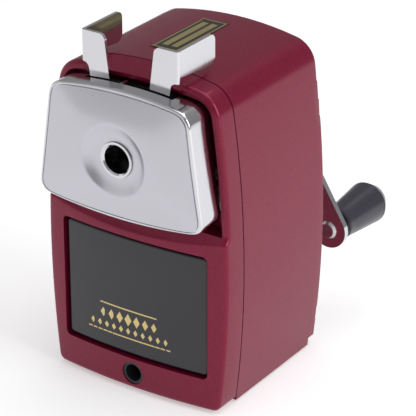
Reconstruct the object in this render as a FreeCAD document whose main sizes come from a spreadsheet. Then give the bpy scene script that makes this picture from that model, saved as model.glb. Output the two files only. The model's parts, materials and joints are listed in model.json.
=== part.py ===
import FreeCAD, Part
import math
import os
import Sketcher
from FreeCAD import Placement, Rotation, Vector

# Desk pencil sharpener with a spring-loaded head, a chip drawer and a rear crank. Millimetres.
# +X is the crank handle's side, the pencil goes in along +Y, +Z is up and z = 0 is the table.

SIZES = {
    # body section, seen from the front
    "foot_height": 1.0,
    "side_widest": 37.2,
    "side_widest_height": 50.0,
    "side_arc": 387.0,
    "crown_height": 120.0,
    "crown_arc": 122.0,
    "shoulder_radius": 10.0,
    "shell_wall": 1.2,
    # positions along the pencil axis
    "front_face": -32.0,
    "front_bow": 219.0,
    "frame_rear": -18.7,
    "shell_front": -18.2,
    "shell_rear": 29.0,
    "cover_rear": 33.6,
    "lip_front": -27.4,
    "front_edge_round": 1.8,
    "rear_edge_round": 1.3,
    "foot_corner_round": 3.0,
    "web_front": -20.7,
    # drawer window and head window of the front frame
    "window_half": 30.0,
    "window_bottom": 13.1,
    "window_top": 59.9,
    "recess_inset": 2.5,
    "recess_bottom": 67.5,
    "recess_top": 116.2,
    "recess_crown_arc": 200.0,
    "recess_corner": 7.0,
    "relief_half": 18.0,
    "relief_angle": 15.4,
    # pencil axis and clamp
    "pencil_height": 91.5,
    "pencil_hole": 5.0,
    "clamp_height": 7.3,
    "clamp_hole": 3.25,
    "clamp_depth": 24.0,
    # walls inside the housing
    "front_wall": -17.8,
    "rear_wall": 24.0,
    "wall_gauge": 2.0,
    "wall_bottom": 61.4,
    "plate_gauge": 2.0,
    # head
    "head_front": -41.4,
    "head_rear": -26.8,
    "head_bottom": 72.1,
    "head_bottom_half": 33.7,
    "head_bottom_middle": 69.1,
    "head_top": 113.2,
    "head_top_half": 27.9,
    "head_top_middle": 115.6,
    "head_corner": 4.5,
    "head_wall": 1.2,
    "pillow_across": 150.0,
    "pillow_upright": 80.0,
    "dish_radius": 12.3,
    "dish_depth": 2.4,
    "rod_radius": 2.0,
    "rod_side": 27.0,
    "rod_height": 77.0,
    "rod_rear": 28.0,
    "spring_side": 26.5,
    "spring_height": 86.0,
    "spring_radius": 1.8,
    "spring_wire": 0.35,
    # clamping levers
    "notch_outer": 17.8,
    "notch_left_inner": 3.4,
    "notch_right_inner": 2.2,
    "lever_gauge": 1.2,
    "lever_front": -31.0,
    "pivot_side": 14.0,
    "pivot_height": 101.5,
    "pivot_pin": 1.5,
    "ear_top": 131.0,
    "ear_pad_bottom": 120.9,
    "ear_pad_side": 19.4,
    "ear_pad_rear": -9.5,
    # drawer
    "drawer_half": 29.4,
    "drawer_bottom": 13.6,
    "drawer_top": 58.7,
    "drawer_front": -30.7,
    "drawer_rear": 22.0,
    "drawer_wall": 1.8,
    # crank
    "shaft_radius": 3.0,
    "arm_front": 46.0,
    "arm_gauge": 2.2,
    "arm_reach": 60.6,
    "arm_angle": 31.4,
    "arm_end_radius": 7.0,
    "spindle_radius": 2.4,
    "knob_front": 51.9,
    "knob_rear": 77.6,
    # cutter and gears
    "tilt": 10.0,
    "apex": 48.1,
    "ring_cone": 14.93,
    "pinion_cone": 4.93,
    "ring_teeth": 36,
    "pinion_teeth": 12,
    "tooth_share": 0.36,
    "ring_front": -15.8,
    "ring_rear": -11.4,
    "ring_outside": 22.0,
    "cutter_radius": 6.5,
    "cutter_flutes": 12,
    "cutter_pin": 1.5,
    "carrier_disc": 14.0,
    "running_gap": 0.05,
}

doc = FreeCAD.newDocument("pencil_sharpener")
sheet = doc.addObject("Spreadsheet::Sheet", "Dims")
for row, (word, number) in enumerate(SIZES.items(), start=1):
    sheet.set("A%d" % row, word)
    sheet.set("B%d" % row, str(number))
    sheet.setAlias("B%d" % row, word)
doc.recompute()


class Size:
    """A length together with the sheet formula that gives it."""

    def __init__(self, value, text):
        self.value = value
        self.text = text

    def joined(self, other, sign, value):
        return Size(value, "(%s %s %s)" % (self.text, sign, other.text))

    def __add__(self, other):
        other = as_size(other)
        return self.joined(other, "+", self.value + other.value)

    def __sub__(self, other):
        other = as_size(other)
        return self.joined(other, "-", self.value - other.value)

    def __mul__(self, other):
        other = as_size(other)
        return self.joined(other, "*", self.value * other.value)

    def __truediv__(self, other):
        other = as_size(other)
        return self.joined(other, "/", self.value / other.value)

    def __neg__(self):
        return as_size(0) - self

    def __radd__(self, other):
        return as_size(other) + self

    def __rsub__(self, other):
        return as_size(other) - self

    def __rmul__(self, other):
        return as_size(other) * self


def as_size(number):
    if isinstance(number, Size):
        return number
    return Size(float(number), "(%r)" % float(number))


def dim(word):
    return Size(float(sheet.get(word)), "Dims.%s" % word)


def sine(angle):
    return Size(math.sin(math.radians(angle.value)), "sin(%s)" % angle.text)


def cosine(angle):
    return Size(math.cos(math.radians(angle.value)), "cos(%s)" % angle.text)


def bind(thing, prop, length):
    thing.setExpression(prop, as_size(length).text)


def place(thing, x=0, y=0, z=0, turn=None):
    """Put a primitive at a bound position, turned by an axis and an angle."""
    if turn is not None:
        thing.Placement = Placement(Vector(), Rotation(turn[0], turn[1]))
    bind(thing, "Placement.Base.x", x)
    bind(thing, "Placement.Base.y", y)
    bind(thing, "Placement.Base.z", z)
    return thing


TURNS = {
    "y": (Vector(1, 0, 0), -90),
    "x": (Vector(0, 1, 0), 90),
    "z": None,
}


def box(x, y, z):
    thing = doc.addObject("Part::Box", "Block")
    bind(thing, "Length", as_size(x[1]) - x[0])
    bind(thing, "Width", as_size(y[1]) - y[0])
    bind(thing, "Height", as_size(z[1]) - z[0])
    return place(thing, x[0], y[0], z[0])


def rod(radius, span, x=0, y=0, z=0, along="y"):
    """Cylinder along one axis; span gives its start and end on that axis."""
    thing = doc.addObject("Part::Cylinder", "Rod")
    bind(thing, "Radius", radius)
    bind(thing, "Height", as_size(span[1]) - span[0])
    spot = {"x": x, "y": y, "z": z}
    spot[along] = span[0]
    return place(thing, spot["x"], spot["y"], spot["z"], TURNS[along])


def tapered(radius_front, radius_rear, span, x=0, z=0):
    thing = doc.addObject("Part::Cone", "Cone")
    bind(thing, "Radius1", radius_front)
    bind(thing, "Radius2", radius_rear)
    bind(thing, "Height", as_size(span[1]) - span[0])
    return place(thing, x, span[0], z, TURNS["y"])


def hexagon(across, span, x, z):
    thing = doc.addObject("Part::Prism", "Hexagon")
    thing.Polygon = 6
    bind(thing, "Circumradius", as_size(across) / math.sqrt(3))
    bind(thing, "Height", as_size(span[1]) - span[0])
    return place(thing, x, span[0], z, TURNS["y"])


def fuse(*things):
    joined = doc.addObject("Part::MultiFuse", "Fused")
    joined.Shapes = list(things)
    return joined


def cut(base, *tools):
    result = doc.addObject("Part::Cut", "Cut")
    result.Base = base
    result.Tool = tools[0] if len(tools) == 1 else fuse(*tools)
    return result


def common(*things):
    shared = doc.addObject("Part::MultiCommon", "Common")
    shared.Shapes = list(things)
    return shared


def group(*things):
    several = doc.addObject("Part::Compound", "Group")
    several.Links = list(things)
    return several


def tube(outside, inside, span, x=0, z=0):
    return cut(rod(outside, span, x, z=z), rod(inside, (as_size(span[0]) - 1, as_size(span[1]) + 1), x, z=z))


ROLES = {"xz": "XZ_Plane", "yz": "YZ_Plane", "xy": "XY_Plane"}


def new_sketch(body, plane, level):
    sketch = body.newObject("Sketcher::SketchObject", "Profile")
    role = ROLES[plane]
    sketch.AttachmentSupport = ([f for f in body.Origin.OriginFeatures if f.Role == role][0], [""])
    sketch.MapMode = "FlatFace"
    level = as_size(level)
    bind(sketch, "AttachmentOffset.Base.z", -level if plane == "xz" else level)
    doc.recompute()
    return sketch


def pin_value(sketch, kind, geometry, point, length):
    """Fix one coordinate of a sketch point to a sheet formula."""
    length = as_size(length)
    index = sketch.addConstraint(Sketcher.Constraint(kind, -1, 1, geometry, point, length.value))
    sketch.setExpression("Constraints[%d]" % index, length.text)


def arc_through(first, middle, last):
    """Counter-clockwise arc through three points, and whether it runs from first to last."""
    circle = Part.Arc(first, middle, last).toShape().Curve
    centre = circle.Center
    forward = (middle - first).cross(last - middle).z > 0
    start = first if forward else last
    end = last if forward else first
    low = math.atan2(start.y - centre.y, start.x - centre.x)
    high = math.atan2(end.y - centre.y, end.x - centre.x)
    if high < low:
        high += 2 * math.pi
    flat = Part.Circle(centre, Vector(0, 0, 1), circle.Radius)
    return Part.ArcOfCircle(flat, low, high), forward


def draw_loop(sketch, points):
    """Closed outline. A point is (x, y), or (x, y, (mx, my)) where an arc to the next passes (mx, my)."""
    spots = [Vector(as_size(p[0]).value, as_size(p[1]).value, 0) for p in points]
    ends = []
    for index, point in enumerate(points):
        first = spots[index]
        last = spots[(index + 1) % len(points)]
        if len(point) == 2:
            ends.append((sketch.addGeometry(Part.LineSegment(first, last)), 1, 2))
            continue
        middle = Vector(as_size(point[2][0]).value, as_size(point[2][1]).value, 0)
        arc, forward = arc_through(first, middle, last)
        line = sketch.addGeometry(arc)
        ends.append((line, 1, 2) if forward else (line, 2, 1))
        mark = sketch.addGeometry(Part.Point(middle), True)
        pin_value(sketch, "DistanceX", mark, 1, point[2][0])
        pin_value(sketch, "DistanceY", mark, 1, point[2][1])
        sketch.addConstraint(Sketcher.Constraint("PointOnObject", mark, 1, line))
    for index, point in enumerate(points):
        before = ends[index - 1]
        here = ends[index]
        sketch.addConstraint(Sketcher.Constraint("Coincident", before[0], before[2], here[0], here[1]))
        pin_value(sketch, "DistanceX", here[0], here[1], point[0])
        pin_value(sketch, "DistanceY", here[0], here[1], point[1])


def pad(points, plane, span, corners=0):
    """Body padded from one outline, from span[0] to span[1] along the plane's axis."""
    body = doc.addObject("PartDesign::Body", "Piece")
    sketch = new_sketch(body, plane, span[0])
    draw_loop(sketch, points)
    doc.recompute()
    feature = body.newObject("PartDesign::Pad", "Pad")
    feature.Profile = sketch
    feature.Reversed = plane == "xz"
    bind(feature, "Length", as_size(span[1]) - span[0])
    doc.recompute()
    if as_size(corners).value > 0:
        round_long_edges(body, feature, plane, corners)
    return body


def round_long_edges(body, feature, plane, radius):
    """Round the straight edges that run along the pad."""
    along = {"xz": Vector(0, 1, 0), "yz": Vector(1, 0, 0), "xy": Vector(0, 0, 1)}[plane]
    names = []
    for number, edge in enumerate(feature.Shape.Edges, start=1):
        if isinstance(edge.Curve, Part.Line) and abs(edge.Curve.Direction.dot(along)) > 0.999:
            names.append("Edge%d" % number)
    fillet = body.newObject("PartDesign::Fillet", "Rounds")
    fillet.Base = (feature, names)
    bind(fillet, "Radius", radius)
    doc.recompute()


def revolve(points, x=0, z=0):
    """Body of revolution about an axis along Y; points are (radius, y)."""
    body = doc.addObject("PartDesign::Body", "Turned")
    sketch = new_sketch(body, "xy", z)
    draw_loop(sketch, [(as_size(x) + p[0], p[1]) for p in points])
    across = as_size(x).value
    axis = sketch.addGeometry(Part.LineSegment(Vector(across, 0, 0), Vector(across, 1, 0)), True)
    for end in (1, 2):
        pin_value(sketch, "DistanceX", axis, end, x)
        pin_value(sketch, "DistanceY", axis, end, end - 1)
    doc.recompute()
    feature = body.newObject("PartDesign::Revolution", "Turn")
    feature.Profile = sketch
    feature.ReferenceAxis = (sketch, ["Axis0"])
    feature.Angle = 360
    doc.recompute()
    return body


def arch_points(side, height_of_side, side_arc, crown, crown_arc, corner, bottom):
    """Numeric corner points of the arch outline, and the shoulder's centre."""
    side_centre = Vector(side - side_arc, height_of_side, 0)
    crown_centre = Vector(0, crown - crown_arc, 0)
    near = side_arc - corner
    far = crown_arc - corner
    between = crown_centre - side_centre
    gap = between.Length
    along = (near ** 2 - far ** 2 + gap ** 2) / (2 * gap)
    across = math.sqrt(near ** 2 - along ** 2)
    step = between / gap
    shoulder = side_centre + step * along + Vector(-step.y, step.x, 0) * across
    low = side_centre.x + math.sqrt(side_arc ** 2 - (bottom - height_of_side) ** 2)
    on_side = side_centre + (shoulder - side_centre) / near * side_arc
    on_crown = crown_centre + (shoulder - crown_centre) / far * crown_arc
    return side_centre, crown_centre, shoulder, Vector(low, bottom, 0), on_side, on_crown


def arc_between(centre, start, end):
    low = math.atan2(start.y - centre.y, start.x - centre.x)
    high = math.atan2(end.y - centre.y, end.x - centre.x)
    if high < low:
        high += 2 * math.pi
    circle = Part.Circle(centre, Vector(0, 0, 1), (start - centre).Length)
    return Part.ArcOfCircle(circle, low, high)


def arch(span, inset=0, bottom=None, crown=None, crown_arc=None, corner=None):
    """Body with the housing's arched section, drawn inside the outer skin by the inset."""
    inset = as_size(inset)
    bottom = dim("foot_height") if bottom is None else as_size(bottom)
    side = dim("side_widest") - inset
    side_arc = dim("side_arc") - inset
    level = dim("side_widest_height")
    crown = dim("crown_height") - inset if crown is None else as_size(crown)
    crown_arc = dim("crown_arc") - inset if crown_arc is None else as_size(crown_arc)
    corner = dim("shoulder_radius") - inset if corner is None else as_size(corner)
    values = [s.value for s in (side, level, side_arc, crown, crown_arc, corner, bottom)]
    right, top, shoulder, low, on_side, on_crown = arch_points(*values)

    def flip(point):
        return Vector(-point.x, point.y, 0)

    body = doc.addObject("PartDesign::Body", "Arch")
    sketch = new_sketch(body, "xz", span[0])
    sketch.addGeometry([
        Part.LineSegment(flip(low), low),
        arc_between(right, low, on_side),
        arc_between(shoulder, on_side, on_crown),
        arc_between(top, on_crown, flip(on_crown)),
        arc_between(flip(shoulder), flip(on_crown), flip(on_side)),
        arc_between(flip(right), flip(on_side), flip(low)),
    ])
    sketch.addConstraint([
        Sketcher.Constraint("Coincident", 0, 2, 1, 1),
        Sketcher.Constraint("Tangent", 1, 2, 2, 1),
        Sketcher.Constraint("Tangent", 2, 2, 3, 1),
        Sketcher.Constraint("Tangent", 3, 2, 4, 1),
        Sketcher.Constraint("Tangent", 4, 2, 5, 1),
        Sketcher.Constraint("Coincident", 5, 2, 0, 1),
        Sketcher.Constraint("Horizontal", 0),
    ])
    for curve, x, y, radius in (
        (1, side - side_arc, level, side_arc),
        (3, 0, crown - crown_arc, crown_arc),
        (5, side_arc - side, level, side_arc),
    ):
        pin_value(sketch, "DistanceX", curve, 3, x)
        pin_value(sketch, "DistanceY", curve, 3, y)
        pin_radius(sketch, curve, radius)
    pin_radius(sketch, 2, corner)
    pin_radius(sketch, 4, corner)
    pin_value(sketch, "DistanceY", 0, 1, bottom)
    doc.recompute()
    feature = body.newObject("PartDesign::Pad", "Pad")
    feature.Profile = sketch
    feature.Reversed = True
    bind(feature, "Length", as_size(span[1]) - span[0])
    doc.recompute()
    return body


def pin_radius(sketch, curve, radius):
    index = sketch.addConstraint(Sketcher.Constraint("Radius", curve, radius.value))
    sketch.setExpression("Constraints[%d]" % index, radius.text)


def fillet_edges(thing, radius, chosen):
    """Round the edges that the test picks."""
    doc.recompute()
    result = doc.addObject("Part::Fillet", "Fillet")
    result.Base = thing
    size = radius.value
    edges = enumerate(thing.Shape.Edges, start=1)
    result.Edges = [(number, size, size) for number, edge in edges if chosen(edge)]
    doc.recompute()
    return result


def screw(head, head_height, shank, length, x, y, z, along="y", sense=1):
    """Slotted pan-head screw: its shank starts at the seat and runs along the axis."""
    seat = {"x": x, "y": y, "z": z}[along]
    shank_span = sorted_span(seat, as_size(seat) + sense * length)
    head_span = sorted_span(seat, as_size(seat) - sense * head_height)
    outer = head_span[0] if sense > 0 else head_span[1]
    slot_span = sorted_span(as_size(outer) - sense * 0.5, as_size(outer) + sense * head_height * 0.4)
    spans = {
        "x": (as_size(x) - 0.3, as_size(x) + 0.3),
        "y": (as_size(y) - head - 1, as_size(y) + head + 1),
        "z": (as_size(z) - 0.3, as_size(z) + 0.3),
    }
    if along == "y":
        spans["x"] = (as_size(x) - head - 1, as_size(x) + head + 1)
    spans[along] = slot_span
    whole = fuse(rod(head, head_span, x, y, z, along), rod(shank, shank_span, x, y, z, along))
    return cut(whole, box(spans["x"], spans["y"], spans["z"]))


def sorted_span(first, second):
    first = as_size(first)
    second = as_size(second)
    return (first, second) if first.value < second.value else (second, first)


def coil(radius, wire, start, end, turns, at, direction):
    """Round-wire helix as a plain shape, for the springs."""
    length = end - start
    helix = Part.makeHelix(length / turns, length, radius)
    section = Part.Wire([Part.makeCircle(wire, Vector(radius, 0, 0), Vector(0, 1, 0))])
    shape = Part.Wire(helix).makePipeShell([section], True, True)
    shape.Placement = Placement(at, Rotation(Vector(0, 0, 1), direction))
    return shape


nodes = {}


def node(name, thing):
    thing.Label = name
    nodes[name] = thing


# ------------------------------------------------------------------ housing

PENCIL = dim("pencil_height")


def body_shell():
    span = (dim("shell_front"), dim("shell_rear"))
    skin = arch(span)
    hollow = arch((span[0] - 1, span[1] + 1), dim("shell_wall"), bottom=0)
    node("body_shell", cut(skin, hollow))


def front_frame():
    rear = dim("frame_rear")
    face = dim("front_face")
    lip = dim("lip_front")
    ledge = dim("recess_bottom")
    block = arch((face - 1, rear))
    bow = rod(dim("front_bow"), (-5, 140), 0, face + dim("front_bow"), along="z")
    step = pad([
        (face - 3, ledge - 8.9),
        (lip - 0.6, ledge - 0.6, (lip - 0.15, ledge + 0.2)),
        (lip, ledge + 1.0),
        (lip, 125),
        (face - 3, 125),
    ], "yz", (-45, 45))
    stepped = cut(common(block, bow), step)
    rounded = fillet_edges(stepped, dim("foot_corner_round"), at_foot_corner)
    solid = fillet_edges(rounded, dim("front_edge_round"), on_front_outline)
    drawer_hole = pad(
        rectangle(dim("window_half"), dim("window_bottom"), dim("window_top")),
        "xz", (face - 2, rear + 1), 2.0)
    recess = arch(
        (face - 2, dim("web_front")), dim("recess_inset"), ledge,
        dim("recess_top"), dim("recess_crown_arc"), dim("recess_corner"))
    clamp = rod(dim("clamp_hole") + 1.05, (face - 2, rear + 1), z=dim("clamp_height"))
    mouth = rod(dim("carrier_disc") + 4, (-25, -10), z=PENCIL)
    ways = []
    for sign in (-1, 1):
        ways.append(rod(5.2, (-25, -10), sign * dim("rod_side"), z=dim("rod_height")))
        ways.append(rod(3.0, (-25, -10), sign * dim("spring_side"), z=dim("spring_height")))
    node("front_frame", cut(solid, drawer_hole, recess, clamp, mouth, top_relief(), *ways))


def top_relief():
    """Tool for the shallow slope between the two creases on the frame's top."""
    half = dim("relief_half")
    rear = dim("frame_rear")
    block = box((-half, half), (rear - 20, rear), (104, 124))
    tilted = doc.addObject("Part::Cylinder", "Rod")
    bind(tilted, "Radius", dim("crown_arc"))
    bind(tilted, "Height", 80)
    lean = dim("relief_angle")
    tilted.Placement = Placement(Vector(), Rotation(Vector(1, 0, 0), -90 + lean.value))
    drop = dim("crown_arc")
    bind(tilted, "Placement.Base.y", rear - 40 * cosine(lean) + drop * sine(lean))
    bind(tilted, "Placement.Base.z", dim("crown_height") - 40 * sine(lean) - drop * cosine(lean))
    return cut(block, tilted)


def at_foot_corner(edge):
    """True for the frame's two bottom corner edges, which run front to back."""
    bounds = edge.BoundBox
    return bounds.ZMax < SIZES["foot_height"] + 0.01 and bounds.YLength > 5


def on_front_outline(edge):
    """True for the edges round the frame's front, apart from the ones that cross it."""
    bounds = edge.BoundBox
    crossing = bounds.XLength > 50 and bounds.ZLength < 0.2 and bounds.ZMax > 5
    return bounds.YMax < SIZES["lip_front"] + 0.2 and not crossing


def rectangle(half, low, high):
    return [(-half, low), (half, low), (half, high), (-half, high)]


def rear_cover():
    rear = dim("cover_rear")
    plate = arch((dim("shell_rear") + 0.1, rear), 0.1)

    def rear_outline(edge):
        bounds = edge.BoundBox
        return bounds.YMin > rear.value - 0.01

    trimmed = common(plate, pad([
        (-30, 0),
        (30, 0),
        (39, 8),
        (39, 130),
        (-39, 130),
        (-39, 8),
    ], "xz", (dim("shell_rear") - 1, rear + 1)))
    rounded = fillet_edges(trimmed, dim("rear_edge_round"), rear_outline)
    boss = tapered(10, 8.5, (rear - 0.2, rear + 1.9), z=PENCIL)
    hole = rod(4.2, (20, 40), z=PENCIL)
    holes = [rod(1.25, (20, 40), x, z=z) for x, z in COVER_SCREWS]
    node("rear_cover", cut(fuse(rounded, boss), hole, *holes))
    screws = [screw(2.4, 1.2, 1.2, 4.5, x, rear, z, sense=-1) for x, z in COVER_SCREWS]
    node("rear_cover_screws", group(*screws))


COVER_SCREWS = [(-26, 14), (26, 14), (-26, 104), (26, 104)]


def base():
    low = dim("foot_height")
    top = low + dim("plate_gauge")
    plate = box((-32.6, 32.6), (dim("shell_front") + 0.2, dim("shell_rear") - 0.2), (low, top))
    holes = [rod(1.4, (-1, 10), x, y, along="z") for x, y in BASE_SCREWS]
    node("base_plate", cut(plate, *holes))
    mat = pad([(-29, -15), (29, -15), (29, 17), (-29, 17)], "xy", (0, low), 4.0)
    node("rubber_mat", mat)
    screws = [screw(2.2, 0.7, 1.35, 3.6, x, y, low, "z") for x, y in BASE_SCREWS]
    node("base_screws", group(*screws))
    clamp_span = (dim("front_face") + 0.5, dim("front_face") + 0.5 + dim("clamp_depth"))
    liner = rod(dim("clamp_hole") + 1.0, (clamp_span[0], clamp_span[1] + 1.5), z=dim("clamp_height"))
    bore = rod(dim("clamp_hole"), (clamp_span[0] - 1, clamp_span[1]), z=dim("clamp_height"))
    node("clamp_socket", cut(liner, bore))


BASE_SCREWS = [(-24, 23), (24, 23)]


def drawer_rails():
    floor = dim("foot_height") + dim("plate_gauge")
    under = dim("drawer_bottom") - 0.3
    side = dim("drawer_half") + 0.4
    for name, sign in (("drawer_rail_left", -1), ("drawer_rail_right", 1)):
        outline = [
            (sign * (side + 1.2), floor),
            (sign * (side + 1.2), floor + 26),
            (sign * side, floor + 26),
            (sign * side, under),
            (sign * (side - 6), under),
            (sign * (side - 6), under - 1.2),
            (sign * side, under - 1.2),
            (sign * side, floor),
        ]
        node(name, pad(outline, "xz", (dim("shell_front") + 0.4, dim("rear_wall"))))


def partition(front, sheet_gauge, openings):
    """Cross wall with the arched outline, standing above the drawer."""
    wall = arch((front, front + sheet_gauge), dim("shell_wall") + 0.2, dim("wall_bottom"))
    return cut(wall, *openings)


def chassis():
    front = dim("front_wall")
    rear = dim("rear_wall")
    gauge = dim("wall_gauge")
    rods = dim("rod_side")
    springs = dim("spring_side")
    long_span = (-30, 40)
    ways = []
    for sign in (-1, 1):
        ways.append(rod(3.4, long_span, sign * rods, z=dim("rod_height")))
        ways.append(rod(3.0, long_span, sign * springs, z=dim("spring_height")))
    screws = [rod(1.0, long_span, x, z=z) for x, z in ring_screw_spots()]
    mouth = rod(dim("carrier_disc") + 3, long_span, z=PENCIL)
    node("chassis_front_wall", partition(front, gauge, ways + screws + [mouth]))
    passes = []
    for sign in (-1, 1):
        passes.append(rod(2.8, long_span, sign * rods, z=dim("rod_height")))
        passes.append(rod(0.5, long_span, sign * springs, z=dim("spring_height")))
    seat = rod(6.0, long_span, z=PENCIL)
    node("chassis_rear_wall", partition(rear, gauge, passes + [seat]))
    node("front_bush", tube(dim("carrier_disc") + 3, dim("carrier_disc") + dim("running_gap"),
                            (front - 1.4, front + gauge), z=PENCIL))
    neck = revolve([
        (dim("shaft_radius") + dim("running_gap"), rear - 5),
        (6.0, rear - 5),
        (6.0, rear + gauge),
        (8.0, rear + gauge),
        (8.0, rear + gauge + 1.2),
        (dim("shaft_radius") + dim("running_gap"), rear + gauge + 1.2),
    ], z=PENCIL)
    node("rear_bush", neck)
    bushes = []
    for sign in (-1, 1):
        spot = dict(x=sign * rods, z=dim("rod_height"))
        flanged = fuse(rod(3.4, (front - 1, front + 6), **spot), rod(4.6, (front - 1, front), **spot))
        bushes.append(cut(flanged, rod(dim("rod_radius") + dim("running_gap"), long_span, **spot)))
    node("rod_bushes", group(*bushes))


def ring_screw_spots():
    spots = []
    for turn in (30, 150, 270):
        angle = math.radians(turn)
        spots.append((19.8 * math.cos(angle), PENCIL + 19.8 * math.sin(angle)))
    return spots


def chip_chute():
    """Hopper between the cutter and the drawer: a flanged plate with four sloping sides."""
    top = dim("wall_bottom")
    back = dim("rear_wall") - 0.2
    plate = box((-33.5, 33.5), (dim("front_wall") + 0.2, back), (top - 1.4, top - 0.2))
    mouth = box((-17, 17), (-12, 17), (top - 3, top + 1))
    lips = []
    for sign in (-1, 1):
        lips.append(pad([
            (sign * 17.0, top - 0.2),
            (sign * 18.0, top - 0.2),
            (sign * 26.0, top + 5.5),
            (sign * 26.0, top + 6.7),
        ], "xz", (dim("front_wall") + 3, back)))
    node("chip_chute", fuse(cut(plate, mouth), *lips))


def return_springs():
    side = SIZES["spring_side"]
    front = SIZES["head_rear"] + 0.9
    rear = SIZES["rear_wall"] - 0.1
    for name, sign in (("return_spring_left", -1), ("return_spring_right", 1)):
        thing = doc.addObject("Part::Feature", "Spring")
        at = Vector(sign * side, front + 0.35, float(sheet.get("spring_height")))
        thing.Shape = coil(
            float(sheet.get("spring_radius")), float(sheet.get("spring_wire")),
            front + 0.35, rear - 0.35, 26, at, Vector(0, 1, 0))
        node(name, thing)


# ------------------------------------------------------------------ gears and cutter


def toothed(teeth, tip, root, share, turn=0.0):
    """Closed toothed outline: tips at one radius, roots at the other, trapezoid flanks."""
    points = []
    pitch = 2 * math.pi / teeth
    for count in range(teeth):
        middle = count * pitch + turn
        for radius, offset in (
            (root, -0.5 * share * 1.5),
            (tip, -0.5 * share * 0.6),
            (tip, 0.5 * share * 0.6),
            (root, 0.5 * share * 1.5),
        ):
            angle = middle + offset * pitch
            points.append(Vector(radius * math.cos(angle), radius * math.sin(angle), 0))
    return Part.makePolygon(points + [points[0]])


def bevel(teeth, cone, near, far, above, below, share, turn=0.0):
    """Toothed solid whose teeth run towards an apex at the origin, from -far to -near on z."""
    wires = []
    for distance in (far, near):
        pitch_radius = distance * math.tan(math.radians(cone))
        scale = distance / far
        outline = toothed(teeth, pitch_radius + above * scale, pitch_radius - below * scale, share, turn)
        outline.translate(Vector(0, 0, -distance))
        wires.append(outline)
    return Part.makeLoft(wires, True, True)


def cutter_placement():
    """Origin at the apex, z along the cutter's axis towards the apex, x away from the pencil."""
    lean = math.radians(float(sheet.get("tilt")))
    along = Vector(0, math.cos(lean), -math.sin(lean))
    away = Vector(0, math.sin(lean), math.cos(lean))
    side = along.cross(away)
    turn = Rotation(away, side, along, "ZXY")
    spot = Vector(0, float(sheet.get("apex")), float(sheet.get("pencil_height")))
    return Placement(spot, turn)


def ring_gear():
    apex = float(sheet.get("apex"))
    front = apex - float(sheet.get("ring_front"))
    rear = apex - float(sheet.get("ring_rear"))
    teeth = int(float(sheet.get("ring_teeth")))
    share = 1 - float(sheet.get("tooth_share"))
    module = 2 * front * math.tan(math.radians(float(sheet.get("ring_cone")))) / teeth
    cone = float(sheet.get("ring_cone"))
    space = bevel(teeth, cone, rear - 1, front + 1, 1.0 * module, 0.6 * module, share)
    outside = Part.makeCylinder(float(sheet.get("ring_outside")), front - rear, Vector(0, 0, -front))
    shape = outside.cut(space)
    for x, z in ring_screw_spots():
        z = z.value - PENCIL.value
        shape = shape.cut(Part.makeCylinder(1.0, 10, Vector(z, x, -front - 2)))
    thing = doc.addObject("Part::Feature", "RingGear")
    thing.Shape = shape
    turn = Rotation(Vector(0, 0, 1), Vector(1, 0, 0), Vector(0, 1, 0), "ZXY")
    thing.Placement = Placement(Vector(0, apex, PENCIL.value), turn)
    node("ring_gear", thing)
    rear_face = dim("ring_rear")
    screws = [screw(1.8, 0.9, 0.95, 6.2, x, rear_face, z, sense=-1) for x, z in ring_screw_spots()]
    node("ring_gear_screws", group(*screws))


def cutter_and_pinion():
    ring_teeth = float(sheet.get("ring_teeth"))
    teeth = int(float(sheet.get("pinion_teeth")))
    front = 64.4
    rear = 60.9
    module = 2 * 66.13 * math.sin(math.radians(float(sheet.get("ring_cone")))) / ring_teeth
    share = float(sheet.get("tooth_share"))
    bore = float(sheet.get("cutter_pin")) + 0.06
    hole = Part.makeCylinder(bore, 80, Vector(0, 0, -90))
    shape = bevel(teeth, float(sheet.get("pinion_cone")), rear, front, 0.75 * module, 0.9 * module, share)
    pinion = doc.addObject("Part::Feature", "Pinion")
    pinion.Shape = shape.cut(hole)
    pinion.Placement = cutter_placement()
    node("cutter_pinion", pinion)

    radius = float(sheet.get("cutter_radius"))
    flutes = int(float(sheet.get("cutter_flutes")))
    length = 20.0
    points = []
    for count in range(flutes):
        profile = ((radius, 0.0), (radius, 0.12), (radius - 1.5, 0.34), (radius - 1.3, 0.8))
        for reach, share_of_pitch in profile:
            angle = 2 * math.pi * (count + share_of_pitch) / flutes
            points.append(Vector(reach * math.cos(angle), reach * math.sin(angle), 0))
    spine = Part.Wire([Part.makeLine(Vector(0, 0, 0), Vector(0, 0, length))])
    shell = Part.BRepOffsetAPI.MakePipeShell(spine)
    shell.setAuxiliarySpine(Part.Wire(Part.makeHelix(62.0, length, radius)), True, 0)
    shell.add(Part.makePolygon(points + [points[0]]))
    shell.build()
    shell.makeSolid()
    blades = shell.shape()
    blades.translate(Vector(0, 0, -59.5))
    collar = Part.makeCylinder(3.2, rear - 59.5, Vector(0, 0, -rear))
    cutter = doc.addObject("Part::Feature", "Cutter")
    cutter.Shape = blades.fuse(collar).removeSplitter().cut(hole)
    cutter.Placement = cutter_placement()
    node("helical_cutter", cutter)


def tilted_rod(radius, near, far):
    """Cylinder on the cutter's axis, between two distances from the apex."""
    thing = doc.addObject("Part::Cylinder", "Pin")
    bind(thing, "Radius", radius)
    bind(thing, "Height", as_size(far) - near)
    lean = dim("tilt")
    thing.Placement = Placement(Vector(), cutter_placement().Rotation)
    bind(thing, "Placement.Base.y", dim("apex") - as_size(far) * cosine(lean))
    bind(thing, "Placement.Base.z", PENCIL + as_size(far) * sine(lean))
    return thing


# ------------------------------------------------------------------ crank


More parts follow.
